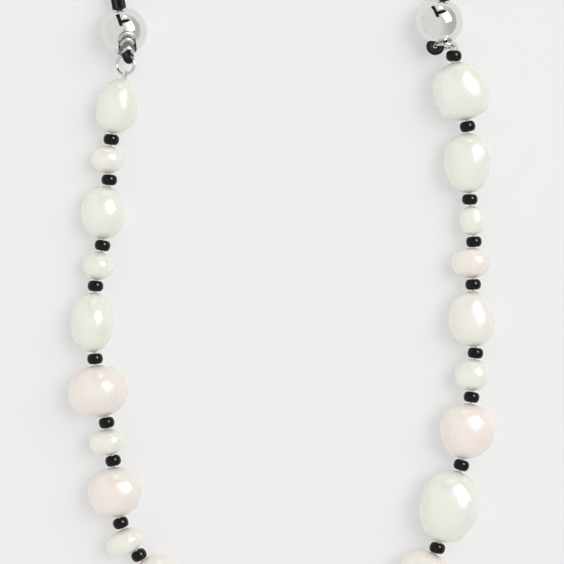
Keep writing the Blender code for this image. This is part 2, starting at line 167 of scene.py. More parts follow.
def nacre(name, body, overtone):
    lustre = {
        "IOR": 1.6,
        "Specular IOR Level": 0.7,
        "Coat Weight": 0.3,
        "Coat Roughness": 0.14,
        "Subsurface Weight": 0.6,
        "Subsurface Radius": (1.0, 0.9, 0.8),
        "Subsurface Scale": 2.0 * MM,
    }
    material, tree, shader = new_material(name, lustre)
    layers = add_node(tree, "ShaderNodeGroup", node_tree=NACRE_LAYERS)
    layers.inputs["Body"].default_value = (*body, 1.0)
    layers.inputs["Overtone"].default_value = (*overtone, 1.0)
    tree.links.new(layers.outputs["Colour"], shader.inputs["Base Color"])
    tree.links.new(layers.outputs["Roughness"], shader.inputs["Roughness"])
    add_bump(tree, shader, layers.outputs["Height"], 0.3 * MM, 0.16)
    return material


NACRE_LAYERS = nacre_layers()
NACRE = {
    "ivory": nacre("ivory_nacre", (0.82, 0.85, 0.75), (0.85, 0.86, 0.79)),
    "cream": nacre("cream_nacre", (0.84, 0.85, 0.76), (0.88, 0.84, 0.79)),
    "rose": nacre("rose_nacre", (0.92, 0.81, 0.76), (0.88, 0.84, 0.78)),
}


def pick(piece):
    """Select one piece alone and make it the active one."""
    bpy.ops.object.select_all(action="DESELECT")
    piece.select_set(True)
    bpy.context.view_layer.objects.active = piece


def apply_modifiers(piece):
    pick(piece)
    for name in [modifier.name for modifier in piece.modifiers]:
        bpy.ops.object.modifier_apply(modifier=name)


def settle(piece, matrix):
    """Put a modelled piece where it belongs on the strap, with its place in its mesh."""
    piece.matrix_world = matrix
    pick(piece)
    bpy.ops.object.transform_apply(location=True, rotation=True, scale=True)


def copy_of(model, name):
    piece = model.copy()
    piece.data = model.data.copy()
    piece.name = name
    piece.data.name = name
    bpy.context.collection.objects.link(piece)
    return piece


def pick_faces(piece, wanted):
    """In edit mode, select the faces whose middle passes a test, and no others."""
    bpy.ops.mesh.select_mode(type="FACE")
    bpy.ops.mesh.select_all(action="DESELECT")
    mesh = bmesh.from_edit_mesh(piece.data)
    for face in mesh.faces:
        face.select_set(wanted(face.calc_center_median()))
    bmesh.update_edit_mesh(piece.data)


def drilled_ball(name, segments, rings):
    """Ball of radius 1 with a chamfered blind hole at each end of X, as a start for a pearl."""
    bpy.ops.object.select_all(action="DESELECT")
    bpy.ops.mesh.primitive_uv_sphere_add(
        segments=segments, ring_count=rings, radius=1.0, rotation=(0.0, math.pi / 2, 0.0)
    )
    ball = bpy.context.object
    ball.name = name
    bpy.ops.object.transform_apply(location=True, rotation=True, scale=True)
    bpy.ops.object.mode_set(mode="EDIT")
    rim = math.cos(math.pi / rings)
    pick_faces(ball, lambda middle: abs(middle.x) > rim)
    bpy.ops.mesh.extrude_region_move()
    bpy.ops.transform.resize(value=(0.99, 0.8, 0.8), center_override=(0.0, 0.0, 0.0))
    bpy.ops.mesh.extrude_region_move()
    bpy.ops.transform.resize(value=(DRILL_DEPTH, 1.0, 1.0), center_override=(0.0, 0.0, 0.0))
    bpy.ops.object.mode_set(mode="OBJECT")
    belly = ball.vertex_groups.new(name="belly")
    for vertex in ball.data.vertices:
        belly.add([vertex.index], max(0.0, 1.0 - abs(vertex.co.x) ** 6), "REPLACE")
    return ball


def soft_noise(name, size):
    texture = bpy.data.textures.new(name, "CLOUDS")
    texture.noise_scale = size
    texture.noise_depth = 0
    return texture


DENTS = soft_noise("pearl_dents", DENT_SIZE)
RIPPLES = soft_noise("pearl_ripples", RIPPLE_SIZE)


def shape_pearl(pearl, matrix, half, fullness, taper):
    """Turn a drilled ball into one baroque pearl: fuller, tapered, sized, set down and dented."""
    cast = pearl.modifiers.new("fullness", "CAST")
    cast.cast_type = "CUBOID"
    cast.factor = fullness
    cast.size = 1.0
    lean = pearl.modifiers.new("taper", "SIMPLE_DEFORM")
    lean.deform_method = "TAPER"
    lean.deform_axis = "X"
    lean.factor = taper
    apply_modifiers(pearl)
    settle(pearl, matrix @ Matrix.Diagonal((*half, 1.0)))
    for texture, depth in ((DENTS, DENT_DEPTH), (RIPPLES, RIPPLE_DEPTH)):
        dent = pearl.modifiers.new(texture.name, "DISPLACE")
        dent.texture = texture
        dent.texture_coords = "LOCAL"
        dent.strength = depth
        dent.vertex_group = "belly"
    apply_modifiers(pearl)
    pick(pearl)
    bpy.ops.object.shade_smooth_by_angle(angle=math.radians(50))


def thread_frame(origin, forward):
    """Matrix whose X runs along the thread, Y to its left and Z up."""
    left = Vector((0.0, 0.0, 1.0)).cross(forward).normalized()
    up = forward.cross(left)
    return Matrix.Translation(origin) @ Matrix((forward, left, up)).transposed().to_4x4()


def measure(node, forward):
    """Frame in the middle of a node, along its thread, and its half sizes there."""
    turn = thread_frame(Vector(), forward)
    back = turn.inverted()
    corners = [back @ vertex.co for vertex in frame["nodes"][node].data.vertices]
    low = Vector([min(corner[k] for corner in corners) for k in range(3)])
    high = Vector([max(corner[k] for corner in corners) for k in range(3)])
    return thread_frame(turn @ ((low + high) / 2), forward), (high - low) / 2


def hinge(name):
    """Where a joint sits: in the middle of a seed bead, or on the wire of a ring."""
    return Vector(joints[name]["pos_m"])


seed_places = {}
pearl_model = drilled_ball("pearl_model", PEARL_SEGMENTS, PEARL_RINGS)
for side, count in STRAND_LENGTH.items():
    seed_places[side] = [hinge(f"{side}_swing_{number:02d}") for number in range(count, 0, -1)]
    seed_places[side].append(hinge(TIED_TO[side]))
    low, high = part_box(f"{side}_pearl_{count + 1:02d}")
    ways = [seed_places[side][0] - (low + high) / 2]
    ways += [b - a for a, b in zip(seed_places[side], seed_places[side][1:])]
    for step, way in enumerate(ways):
        name = f"{side}_pearl_{count + 1 - step:02d}"
        fullness, taper, tint = PEARL_FORMS[name]
        pearl = copy_of(pearl_model, f"{name}_nacre")
        shape_pearl(pearl, *measure(name, way.normalized()), fullness, taper)
        pearl.data.materials.append(NACRE[tint])
        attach(pearl, name if step else STORED_BODY)
        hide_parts(name)

# Seed beads
# Small glass beads, cut from a drawn black tube and tumbled hot until their ends are round.
# One sits on the thread between each two pearls, and one more before the right ring.
SEED_LENGTH = 1.6 * MM
SEED_DIAMETER = 2.4 * MM
SEED_HOLE = 1.0 * MM
SEED_ROUNDING = 0.56 * MM
SEED_SHOULDER = 0.74 * MM
SEED_MOUTH = 0.12 * MM
SEED_SEGMENTS = 36
SEED_STEPS = 6
SEED_TILT = math.radians(5)
chance = random.Random(11)


def round_off(steps, centre, size, start, end):
    """Points of a round or oval arc in a turned profile, as (x, radius) pairs."""
    turns = [math.radians(start + (end - start) * k / steps) for k in range(steps + 1)]
    return [(centre[0] + size[0] * math.cos(a), centre[1] + size[1] * math.sin(a)) for a in turns]


def add_object(name, data):
    """A new object with its data, put into the scene."""
    piece = bpy.data.objects.new(name, data)
    bpy.context.collection.objects.link(piece)
    return piece


def mesh_from(name, points, faces, edges=()):
    mesh = bpy.data.meshes.new(name)
    mesh.from_pydata(points, edges, faces)
    return mesh


def turned(name, profile, segments):
    """A piece spun round X from a closed profile of (x, radius) points."""
    edges = [(k, (k + 1) % len(profile)) for k in range(len(profile))]
    piece = add_object(name, mesh_from(name, [(x, 0.0, radius) for x, radius in profile], [], edges))
    pick(piece)
    bpy.ops.object.mode_set(mode="EDIT")
    bpy.ops.mesh.select_all(action="SELECT")
    bpy.ops.mesh.spin(steps=segments, angle=2 * math.pi, center=(0.0, 0.0, 0.0), axis=(1.0, 0.0, 0.0))
    bpy.ops.mesh.select_all(action="SELECT")
    bpy.ops.mesh.remove_doubles(threshold=1e-6)
    bpy.ops.mesh.normals_make_consistent(inside=False)
    bpy.ops.object.mode_set(mode="OBJECT")
    bpy.ops.object.shade_smooth_by_angle(angle=math.radians(40))
    return piece


def seed_model(name, segments, steps):
    half, radius, hole = SEED_LENGTH / 2, SEED_DIAMETER / 2, SEED_HOLE / 2
    outer, inner = (SEED_SHOULDER, SEED_ROUNDING), (SEED_MOUTH, SEED_MOUTH)
    shoulder_x, shoulder = half - SEED_SHOULDER, radius - SEED_ROUNDING
    mouth_x, mouth = half - SEED_MOUTH, hole + SEED_MOUTH
    profile = round_off(steps, (-mouth_x, mouth), inner, 270, 180)
    profile += round_off(steps, (-shoulder_x, shoulder), outer, 180, 90)
    profile += round_off(steps, (shoulder_x, shoulder), outer, 90, 0)
    profile += round_off(steps, (mouth_x, mouth), inner, 0, -90)
    return turned(name, profile, segments)


def two_tones(tree, shader, share, dark, light):
    """Base colour that varies between two tones with a share."""
    tone = add_node(tree, "ShaderNodeMix", data_type="RGBA")
    tone.inputs["A"].default_value = (*dark, 1.0)
    tone.inputs["B"].default_value = (*light, 1.0)
    tree.links.new(share, tone.inputs["Factor"])
    tree.links.new(tone.outputs["Result"], shader.inputs["Base Color"])


def uneven_gloss(tree, shader, share, low, high):
    """Roughness that varies between two values with a share."""
    gloss = add_node(tree, "ShaderNodeMapRange", {"To Min": low, "To Max": high})
    tree.links.new(share, gloss.inputs["Value"])
    tree.links.new(gloss.outputs["Result"], shader.inputs["Roughness"])


def black_glass():
    """Opaque black glass with a fire-polished skin that is a little uneven."""
    material, tree, shader = new_material("black_glass", {"IOR": 1.52, "Specular IOR Level": 0.2})
    skin = surface_noise(tree, 900.0, 3.0)
    two_tones(tree, shader, skin, (0.002, 0.002, 0.002), (0.006, 0.005, 0.004))
    uneven_gloss(tree, shader, skin, 0.04, 0.1)
    add_bump(tree, shader, skin, 0.1 * MM, 0.12)
    return material


BLACK_GLASS = black_glass()
seed = seed_model("seed_model", SEED_SEGMENTS, SEED_STEPS)
seed_frames = {}
for side, count in STRAND_LENGTH.items():
    places = seed_places[side]
    ways = [(b - a).normalized() for a, b in zip(places, places[1:])]
    for step in range(count):
        way = ways[step] if step == 0 else (ways[step - 1] + ways[step]).normalized()
        seed_frames[f"{side}_seed_{count - step:02d}"] = thread_frame(places[step], way)
end_way = (hinge("right_ring_lift") - hinge("right_end_swing")).normalized()
seed_frames["right_end_seed"] = thread_frame(hinge("right_end_swing"), end_way)
for name, matrix in seed_frames.items():
    bead = copy_of(seed, f"{name}_glass")
    tilt = Matrix.Rotation(chance.uniform(-SEED_TILT, SEED_TILT), 4, "Z")
    settle(bead, matrix @ tilt)
    bead.data.materials.append(BLACK_GLASS)
    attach(bead, name)
    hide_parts(name)

# Beading thread
# A two-ply waxed thread that runs through every bead. Only short lengths show: beside each seed
# bead, and at the ends, where it is looped round the split ring and led back into the last bead.
THREAD_DIAMETER = 0.4 * MM
THREAD_LAY = 1.3 * MM
STUB_LENGTH = 3.6 * MM
STUB_STEPS = 24
END_STUB_BACK = 0.75 * MM
RING_WIRE = 0.45 * MM
RING_RADIUS = 1.475 * MM
END_LOOP_LENGTH = 0.7 * MM
THREAD_TUCK = 1.2 * MM
LOOP_GAP = 0.03 * MM


def add_line(curve, places, closed=False):
    """Straight steps through some places, as one spline of a curve."""
    spline = curve.splines.new("POLY")
    spline.points.add(len(places) - 1)
    for point, place in zip(spline.points, places):
        point.co = (*place, 1.0)
    spline.use_cyclic_u = closed
    return spline


def as_mesh(name, curve):
    """The piece that a curve makes, turned into a mesh."""
    pick(add_object(name, curve))
    bpy.ops.object.convert(target="MESH")
    return bpy.context.object


def face_outwards(piece):
    pick(piece)
    bpy.ops.object.mode_set(mode="EDIT")
    bpy.ops.mesh.select_all(action="SELECT")
    bpy.ops.mesh.normals_make_consistent(inside=False)
    bpy.ops.object.mode_set(mode="OBJECT")


def two_ply():
    """Flat outline of the thread's section: two round plies side by side."""
    curve = bpy.data.curves.new("two_ply", "CURVE")
    curve.dimensions = "2D"
    ply = THREAD_DIAMETER / 4
    right = [math.radians(a) for a in (-75, -40, 0, 40, 75)]
    half = [(ply * (1 + math.cos(a)), 1.3 * ply * math.sin(a), 0.0) for a in right]
    add_line(curve, half + [(-x, -y, z) for x, y, z in half], closed=True)
    return add_object("two_ply", curve)


def laid_thread(name, points, section):
    """A length of thread along a line of points, with its plies twisted round each other."""
    curve = bpy.data.curves.new(name, "CURVE")
    curve.dimensions = "3D"
    curve.bevel_mode = "OBJECT"
    curve.bevel_object = section
    curve.use_fill_caps = True
    run = 0.0
    for k, point in enumerate(add_line(curve, points).points):
        run += (points[k] - points[k - 1]).length if k else 0.0
        point.tilt = 2 * math.pi * run / THREAD_LAY
    thread = as_mesh(name, curve)
    face_outwards(thread)
    bpy.ops.object.shade_smooth_by_angle(angle=math.radians(60))
    return thread


def waxed_thread():
    material, tree, shader = new_material("waxed_thread", {"Sheen Weight": 0.2, "Coat Weight": 0.1})
    fibre = surface_noise(tree, 5200.0, 3.0)
    two_tones(tree, shader, fibre, (0.58, 0.57, 0.52), (0.80, 0.79, 0.74))
    uneven_gloss(tree, shader, fibre, 0.4, 0.65)
    add_bump(tree, shader, fibre, 0.05 * MM, 0.4)
    return material


WAXED_THREAD = waxed_thread()
section = two_ply()
stub_points = [Vector((STUB_LENGTH * (k / STUB_STEPS - 0.5), 0.0, 0.0)) for k in range(STUB_STEPS + 1)]
stub_model = laid_thread("stub_model", stub_points, section)
for name, matrix in seed_frames.items():
    stub = copy_of(stub_model, f"{name}_thread")
    back = END_STUB_BACK if name == "right_end_seed" else 0.0
    settle(stub, matrix @ Matrix.Translation((-back, 0.0, 0.0)))
    stub.data.materials.append(WAXED_THREAD)
    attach(stub, name)


def ring_frame(side):
    """Where a split ring lies: X from the thread to its middle, Z along its wire at the thread."""
    near, far = hinge(f"{side}_ring_lift"), hinge(f"{side}_loop_swing")
    hooked = Vector(joints[f"{side}_loop_swing"]["axis"])
    flat = hooked.cross(far - near).normalized()
    middle = far + hooked.cross(flat) * RING_RADIUS
    along = (middle - near).normalized()
    return Matrix.Translation(near) @ Matrix((along, flat, along.cross(flat))).transposed().to_4x4()


def end_loop_points(side):
    """Out of the last bead, once round the ring's wire, and back in."""
    near = hinge(f"{side}_ring_lift")
    places = seed_places[side] + ([near] if side == "right" else [])
    way = (near - places[-2]).normalized()
    bead_end = near - way * END_LOOP_LENGTH
    aside = ring_frame(side).to_3x3().col[2].cross(way).normalized()
    snug = THREAD_DIAMETER / 2 + LOOP_GAP
    wide = RING_WIRE / 2 + THREAD_DIAMETER / 2 + LOOP_GAP
    inside = bead_end - way * THREAD_TUCK
    points = []
    for step in range(9):
        share = step / 8
        ease = share * share * (3 - 2 * share)
        points.append(inside.lerp(near, share) + aside * (snug + (wide - snug) * ease))
    back = []
    for point in reversed(points):
        back.append(point - 2 * aside * (point - near).dot(aside))
    turns = [math.radians(a) for a in range(75, -76, -15)]
    bend = [near + wide * (way * math.cos(a) + aside * math.sin(a)) for a in turns]
    return points + bend + back


END_BODY = {"left": "left_pearl_01", "right": "right_end_seed"}
for side, body in END_BODY.items():
    loop = laid_thread(f"{side}_thread_end", end_loop_points(side), section)
    loop.data.materials.append(WAXED_THREAD)
    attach(loop, body)
    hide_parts(f"{side}_thread")

# Stored strand
# The rest of the strand, wound into a flat double coil as it is put away: the same pearls, seed
# beads and thread, led in along one arm of the coil, round an S in the middle and out again.
BEAD_GAP = 0.15 * MM
PITCH_EXTRA = SEED_LENGTH + 2 * BEAD_GAP
PEARL_FLATNESS = 0.92
LEFT_START = Vector((-21.7, -41.4)) * MM
LEFT_START_HEADING = 35.6
RIGHT_START = Vector((23.5, -40.3)) * MM
RIGHT_START_HEADING = -25.0
COIL_CENTRE = Vector((-20.0, -92.5)) * MM
COIL_PITCH = 10.5 * MM
COIL_INNER_RADIUS = 30.0 * MM
COIL_JOIN_ANGLE = 34.5
COIL_OUTER_TURN = 257.0
STORED_SEGMENTS = 28
STORED_RINGS = 20
STORED_SEED_SEGMENTS = 20
STORED_SEED_STEPS = 3
WIDTH_SPREAD = (0.95, 1.02)
FULLNESS_SPREAD = (0.06, 0.18)
TAPER_SPREAD = (-0.08, 0.08)
COIL_FIRST = (7.0 * MM, 7.0 * MM)
COIL_LAST = (7.0 * MM, 7.6 * MM)
NEXT_TO_COIL = (5.8 * MM, 8.6 * MM)

# length and width in millimetres, and tint, of the pearls that repeat along the coil
COIL_RUN = [
    (8.0, 7.6, "ivory"),
    (4.2, 4.8, "cream"),
    (8.4, 6.8, "ivory"),
    (4.6, 5.2, "rose"),
    (7.4, 8.2, "rose"),
    (4.2, 4.8, "ivory"),
    (8.8, 6.6, "ivory"),
    (4.4, 5.0, "cream"),
]
table_shift = seed_places["left"][0].to_2d() - LEFT_START


def around(centre, radius, angle):
    return centre + radius * Vector((math.cos(angle), math.sin(angle)))


def smooth_run(start, start_way, end, end_way, steps=12):
    """Cubic from start to end that leaves and arrives along the two ways, without its end."""
    reach = (end - start).length
    points = []
    for step in range(steps):
        t = step / steps
        a, b = 2 * t**3 - 3 * t**2 + 1, t**3 - 2 * t**2 + t
        c, d = 3 * t**2 - 2 * t**3, t**3 - t**2
        points.append(a * start + b * reach * start_way + c * end + d * reach * end_way)
    return points


def coil_points():
    """Flat line from the left strand's start, round the double coil, to the right one's start."""
    join, outer = math.radians(COIL_JOIN_ANGLE), math.radians(COIL_OUTER_TURN)
    begin = join + 2 * math.pi - outer

    def arm(last, phase):
        count = max(2, round(last / math.radians(6)))
        turns = [last * k / count for k in range(count + 1)]
        return [
            around(COIL_CENTRE, COIL_INNER_RADIUS + COIL_PITCH * turn / math.pi, begin + phase + turn)
            for turn in turns
        ]

    left_arm, right_arm = arm(outer - math.pi, math.pi), arm(outer, 0.0)
    small = COIL_INNER_RADIUS / 2
    turns = [math.pi * k / 18 for k in range(1, 18)]
    first_centre = around(COIL_CENTRE, -small, begin)
    second_centre = around(COIL_CENTRE, small, begin)
    first = [around(first_centre, small, begin + math.pi - turn) for turn in turns]
    second = [around(second_centre, small, begin + math.pi + turn) for turn in turns]
    inward = Vector((math.sin(join), -math.cos(join)))
    left_way = around(Vector((0.0, 0.0)), 1.0, math.radians(LEFT_START_HEADING - 90))
    right_way = around(Vector((0.0, 0.0)), 1.0, math.radians(RIGHT_START_HEADING - 90))
    left_run = smooth_run(LEFT_START, left_way, left_arm[-1], inward)
    right_run = smooth_run(RIGHT_START, right_way, right_arm[-1], inward)
    middle = first + [COIL_CENTRE.copy()] + second
    line = left_run + left_arm[::-1] + middle + right_arm + right_run[::-1]
    return [point + table_shift for point in line]


coil_line = coil_points()
coil_marks = [0.0]
for a, b in zip(coil_line, coil_line[1:]):
    coil_marks.append(coil_marks[-1] + (b - a).length)


def on_coil(distance):
    """Point of the coil at a distance along it."""
    k = 1
    while k < len(coil_marks) - 1 and coil_marks[k] < distance:
        k += 1
    share = (distance - coil_marks[k - 1]) / (coil_marks[k] - coil_marks[k - 1])
    return coil_line[k - 1].lerp(coil_line[k], share)


def stored_beads():
    """Length, width and tint of each pearl on the coil, eased to end exactly at its end."""
    beads = [(*COIL_FIRST, "rose")]
    used = COIL_FIRST[0] + COIL_LAST[0] + 2 * PITCH_EXTRA
    k = 0
    while used + COIL_RUN[k % len(COIL_RUN)][0] * MM / 2 + PITCH_EXTRA < coil_marks[-1]:
        length, width, tint = COIL_RUN[k % len(COIL_RUN)]
        beads.append((length * MM, width * MM, tint))
        used += length * MM + PITCH_EXTRA
        k += 1
    beads.append((*COIL_LAST, "rose"))
    ease = (coil_marks[-1] - len(beads) * PITCH_EXTRA) / sum(bead[0] for bead in beads)
    return [(length * ease, width, tint) for length, width, tint in beads]


def join_pieces(pieces, name):
    pick(pieces[0])
    for piece in pieces:
        piece.select_set(True)
    bpy.ops.object.join()
    pieces[0].name = name
    pieces[0].data.name = name
    return pieces[0]


beads = stored_beads()
thread_heights = [NEXT_TO_COIL[0] / 2] + [bead[1] / 2 for bead in beads] + [NEXT_TO_COIL[1] / 2]
thread_heights = [max(a, b) * PEARL_FLATNESS for a, b in zip(thread_heights, thread_heights[1:])]
stored_places = []
run = 0.0
for length, height in zip([0.0] + [bead[0] + PITCH_EXTRA for bead in beads], thread_heights):
    run += length
    stored_places.append((*on_coil(run), height))
stored_places = [Vector(place) for place in stored_places]

stored_model = drilled_ball("stored_model", STORED_SEGMENTS, STORED_RINGS)
stored_seed = seed_model("stored_seed", STORED_SEED_SEGMENTS, STORED_SEED_STEPS)
stored = {"ivory": [], "cream": [], "rose": [], "seed": [], "thread": []}
for k in range(1, len(beads)):
    way = (stored_places[k + 1] - stored_places[k - 1]).normalized()
    matrix = thread_frame(stored_places[k], way)
    bead = copy_of(stored_seed, f"stored_seed_{k}")
    settle(bead, matrix @ Matrix.Rotation(chance.uniform(-SEED_TILT, SEED_TILT), 4, "Z"))
    bead.data.materials.append(BLACK_GLASS)
    stored["seed"].append(bead)
    stub = copy_of(stub_model, f"stored_stub_{k}")
    settle(stub, matrix)
    stub.data.materials.append(WAXED_THREAD)
    stored["thread"].append(stub)
    if k == len(beads) - 1:
        break
    length, width, tint = beads[k]
    way = stored_places[k + 1] - stored_places[k]
    middle = (stored_places[k + 1] + stored_places[k]) / 2
    half = (length / 2, width / 2 * chance.uniform(*WIDTH_SPREAD), width / 2 * PEARL_FLATNESS)
    pearl = copy_of(stored_model, f"stored_pearl_{k}")
    fullness, taper = chance.uniform(*FULLNESS_SPREAD), chance.uniform(*TAPER_SPREAD)
    shape_pearl(pearl, thread_frame(middle, way.normalized()), half, fullness, taper)
    pearl.data.materials.append(NACRE[tint])
    stored[tint].append(pearl)

for kind, pieces in stored.items():
    piece = join_pieces(pieces, f"stored_{kind}_pearls" if kind in NACRE else f"stored_{kind}s")
    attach(piece, STORED_BODY)
    if kind == "ivory":
        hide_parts("coiled_strand")

# Split rings
# A ring of round steel wire, bent closed so that its two ends almost touch, then chromed.
# It ties the thread to the rubber loop.
RING_SLIT = math.radians(5)
RING_SLIT_PLACE = math.radians(75)
RING_STEPS = 72


def handled_metal():
    """Faint smears and fine scratches, which change the gloss of chrome a little."""
    sockets = {"Roughness": "NodeSocketFloat", "Height": "NodeSocketFloat"}
    values = {"Polished": "NodeSocketFloat", "Worn": "NodeSocketFloat"}
    group, given, result = new_group("handled_metal", values, sockets)
    link = group.links.new
    place = add_node(group, "ShaderNodeTexCoord")
    smear = surface_noise(group, 420.0, 4.0, 0.6)
    stretch = add_node(group, "ShaderNodeMapping")
    stretch.inputs["Scale"].default_value = (1.0, 9.0, 1.0)
    scratch = add_node(group, "ShaderNodeTexNoise", {"Scale": 900.0, "Detail": 6.0, "Roughness": 0.7})
    link(place.outputs["Object"], stretch.inputs["Vector"])
    link(stretch.outputs["Vector"], scratch.inputs["Vector"])
    gloss = add_node(group, "ShaderNodeMapRange", {"From Min": 0.4, "From Max": 0.75})
    link(smear, gloss.inputs["Value"])
    link(given.outputs["Polished"], gloss.inputs["To Min"])
    link(given.outputs["Worn"], gloss.inputs["To Max"])
    link(gloss.outputs["Result"], result.inputs["Roughness"])
    link(scratch.outputs["Fac"], result.inputs["Height"])
    return group


HANDLED_METAL = handled_metal()


def chrome(name, colour, polished, worn):
    material, tree, shader = new_material(name, {"Base Color": (*colour, 1.0), "Metallic": 1.0})
    wear = add_node(tree, "ShaderNodeGroup", {"Polished": polished, "Worn": worn}, node_tree=HANDLED_METAL)
    tree.links.new(wear.outputs["Roughness"], shader.inputs["Roughness"])
    add_bump(tree, shader, wear.outputs["Height"], 0.02 * MM, 0.05)
    return material


RING_CHROME = chrome("ring_chrome", (0.66, 0.66, 0.64), 0.06, 0.16)


def slit_ring(name):
    """Ring in the XZ plane with its near side at the origin, cut by a narrow slit."""
    bpy.ops.object.select_all(action="DESELECT")
    bpy.ops.mesh.primitive_circle_add(vertices=20, radius=RING_WIRE / 2, fill_type="NGON")
    ring = bpy.context.object
    ring.name = name
    bpy.ops.object.mode_set(mode="EDIT")
    bpy.ops.mesh.select_all(action="SELECT")
    centre, axis = (RING_RADIUS, 0.0, 0.0), (0.0, 1.0, 0.0)
    bpy.ops.mesh.spin(steps=RING_STEPS, angle=2 * math.pi - RING_SLIT, center=centre, axis=axis)
    bpy.ops.mesh.select_all(action="SELECT")
    bpy.ops.mesh.remove_doubles(threshold=1e-6)
    bpy.ops.transform.rotate(value=RING_SLIT_PLACE, orient_axis="Y", center_override=centre)
    bpy.ops.mesh.normals_make_consistent(inside=False)
    bpy.ops.object.mode_set(mode="OBJECT")
    soft = ring.modifiers.new("filed_ends", "BEVEL")
    soft.width = 0.04 * MM
    soft.segments = 2
    soft.limit_method = "ANGLE"
    soft.angle_limit = math.radians(60)
    apply_modifiers(ring)
    bpy.ops.object.shade_smooth_by_angle(angle=math.radians(40))
    return ring


ring_model = slit_ring("ring_model")
for side in STRAND_LENGTH:
    ring = copy_of(ring_model, f"{side}_split_ring_wire")
    settle(ring, ring_frame(side))
    ring.data.materials.append(RING_CHROME)
    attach(ring, f"{side}_split_ring")
    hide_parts(f"{side}_split_ring")

# Temple loops
# A closed loop of soft black rubber cord. Its bend hangs in the split ring, its two legs run side
# by side through the slider, and its open eye goes over the temple arm of a pair of glasses.
CORD_DIAMETER = 1.05 * MM
RING_CLEARANCE = 0.1 * MM
BALL_RADIUS = 3.6 * MM
BALL_STANDOFF = 0.15 * MM
SLEEVE_HALF = 2.8 * MM
SLIDE_TRAVEL = 8.0 * MM
EYE_WIDTH = 8.0 * MM
EYE_LENGTH = 14.0 * MM
CORD_STEP = 0.5 * MM
bend_reach = CORD_DIAMETER / 2 + RING_WIRE / 2 + RING_CLEARANCE
leg_offset = CORD_DIAMETER / 2
ball_from_bend = BALL_RADIUS + BALL_STANDOFF
neck_start = ball_from_bend - SLEEVE_HALF
neck_end = ball_from_bend + BALL_RADIUS + SLIDE_TRAVEL


def eased(share):
    """Smooth step from 0 to 1, flat outside that range."""
    share = min(1.0, max(0.0, share))
    return share * share * (3 - 2 * share)


def spaced(start, end):
    """Places from start up to end, about one cord step apart, without the end."""
    count = max(4, round((end - start) / CORD_STEP))
    return [start + (end - start) * k / count for k in range(count)]


def loop_points(bend_roll):
    """Closed centre line of the rubber loop along X: bend round the ring, twisted legs, flat eye."""
    half = EYE_WIDTH / 2
    flare_end = neck_end + EYE_LENGTH - half
    bend = [math.radians(a) for a in range(180, 90, -10)]
    side = [(bend_reach * math.cos(a), bend_reach * math.sin(a)) for a in bend]
    for x in spaced(0.0, neck_start):
        side.append((x, bend_reach + (leg_offset - bend_reach) * eased(x / neck_start)))
    side += [(x, leg_offset) for x in spaced(neck_start, neck_end)]
    for x in spaced(neck_end, flare_end):
        share = (x - neck_end) / (flare_end - neck_end)
        side.append((x, leg_offset + (half - leg_offset) * eased(share)))
    tip = [math.radians(a) for a in range(90, -1, -6)]
    side += [(flare_end + half * math.cos(a), half * math.sin(a)) for a in tip]
    points = []
    for x, y in side + [(x, -y) for x, y in reversed(side[1:-1])]:
        roll = bend_roll * (1 - eased((x - neck_start) / (2 * SLEEVE_HALF)))
        points.append(Vector((x, y * math.cos(roll), y * math.sin(roll))))
    return points


def rubber_loop(name, bend_roll):
    curve = bpy.data.curves.new(name, "CURVE")
    curve.dimensions = "3D"
    curve.bevel_depth = CORD_DIAMETER / 2
    curve.bevel_resolution = 6
    add_line(curve, loop_points(bend_roll), closed=True)
    cord = as_mesh(name, curve)
    bpy.ops.object.shade_smooth()
    return cord


def soft_rubber():
    """Black silicone rubber: dull, with a fine pebbled skin and a little dust."""
    material, tree, shader = new_material("soft_rubber", {"IOR": 1.43, "Specular IOR Level": 0.25})
    pebble = surface_noise(tree, 6000.0, 2.0)
    dust = surface_noise(tree, 700.0, 5.0, 0.7)
    amount = add_node(tree, "ShaderNodeMapRange", {"From Min": 0.5, "From Max": 0.8})
    tree.links.new(dust, amount.inputs["Value"])
    two_tones(tree, shader, amount.outputs["Result"], (0.006, 0.006, 0.006), (0.016, 0.015, 0.014))
    uneven_gloss(tree, shader, dust, 0.42, 0.62)
    add_bump(tree, shader, pebble, 0.04 * MM, 0.25)
    return material


SOFT_RUBBER = soft_rubber()
loop_frames = {}
for side in STRAND_LENGTH:
    swing, slide = joints[f"{side}_loop_swing"], joints[f"{side}_slider_slide"]
    matrix = thread_frame(hinge(swing["name"]), Vector(slide["axis"]))
    lean = matrix.to_3x3().inverted() @ Vector(swing["axis"])
    cord = rubber_loop(f"{side}_temple_loop_cord", math.atan2(-lean.y, lean.z))
    settle(cord, matrix)
    loop_frames[side] = matrix
    cord.data.materials.append(SOFT_RUBBER)
    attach(cord, f"{side}_temple_loop")
    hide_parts(f"{side}_temple_loop")

# Slider sleeves
# A short metal tube pressed into the ball, which grips the two legs of the rubber loop.
# Its ends are rolled over so that they don't cut the cord, and it is ribbed to hold in the ball.
SLIDE_CLEARANCE = 0.08 * MM
SLEEVE_WALL = 0.2 * MM
SLEEVE_RIB = 0.05 * MM
SLEEVE_RIBS = 7
SLEEVE_SEGMENTS = 48
sleeve_inner = leg_offset + CORD_DIAMETER / 2 + SLIDE_CLEARANCE
sleeve_outer = sleeve_inner + SLEEVE_WALL


def sleeve_profile():
    """Wall of the sleeve from one rolled end to the other, with shallow ribs outside."""
    roll = SLEEVE_WALL / 2
    straight = SLEEVE_HALF - roll
    profile = round_off(6, (-straight, sleeve_inner + roll), (roll, roll), 270, 90)
    for k in range(1, 8 * SLEEVE_RIBS):
        share = k / (8 * SLEEVE_RIBS)
        rib = SLEEVE_RIB * (0.5 - 0.5 * math.cos(2 * math.pi * SLEEVE_RIBS * share))
        profile.append((straight * (2 * share - 1), sleeve_outer - rib))
    return profile + round_off(6, (straight, sleeve_inner + roll), (roll, roll), 90, -90)


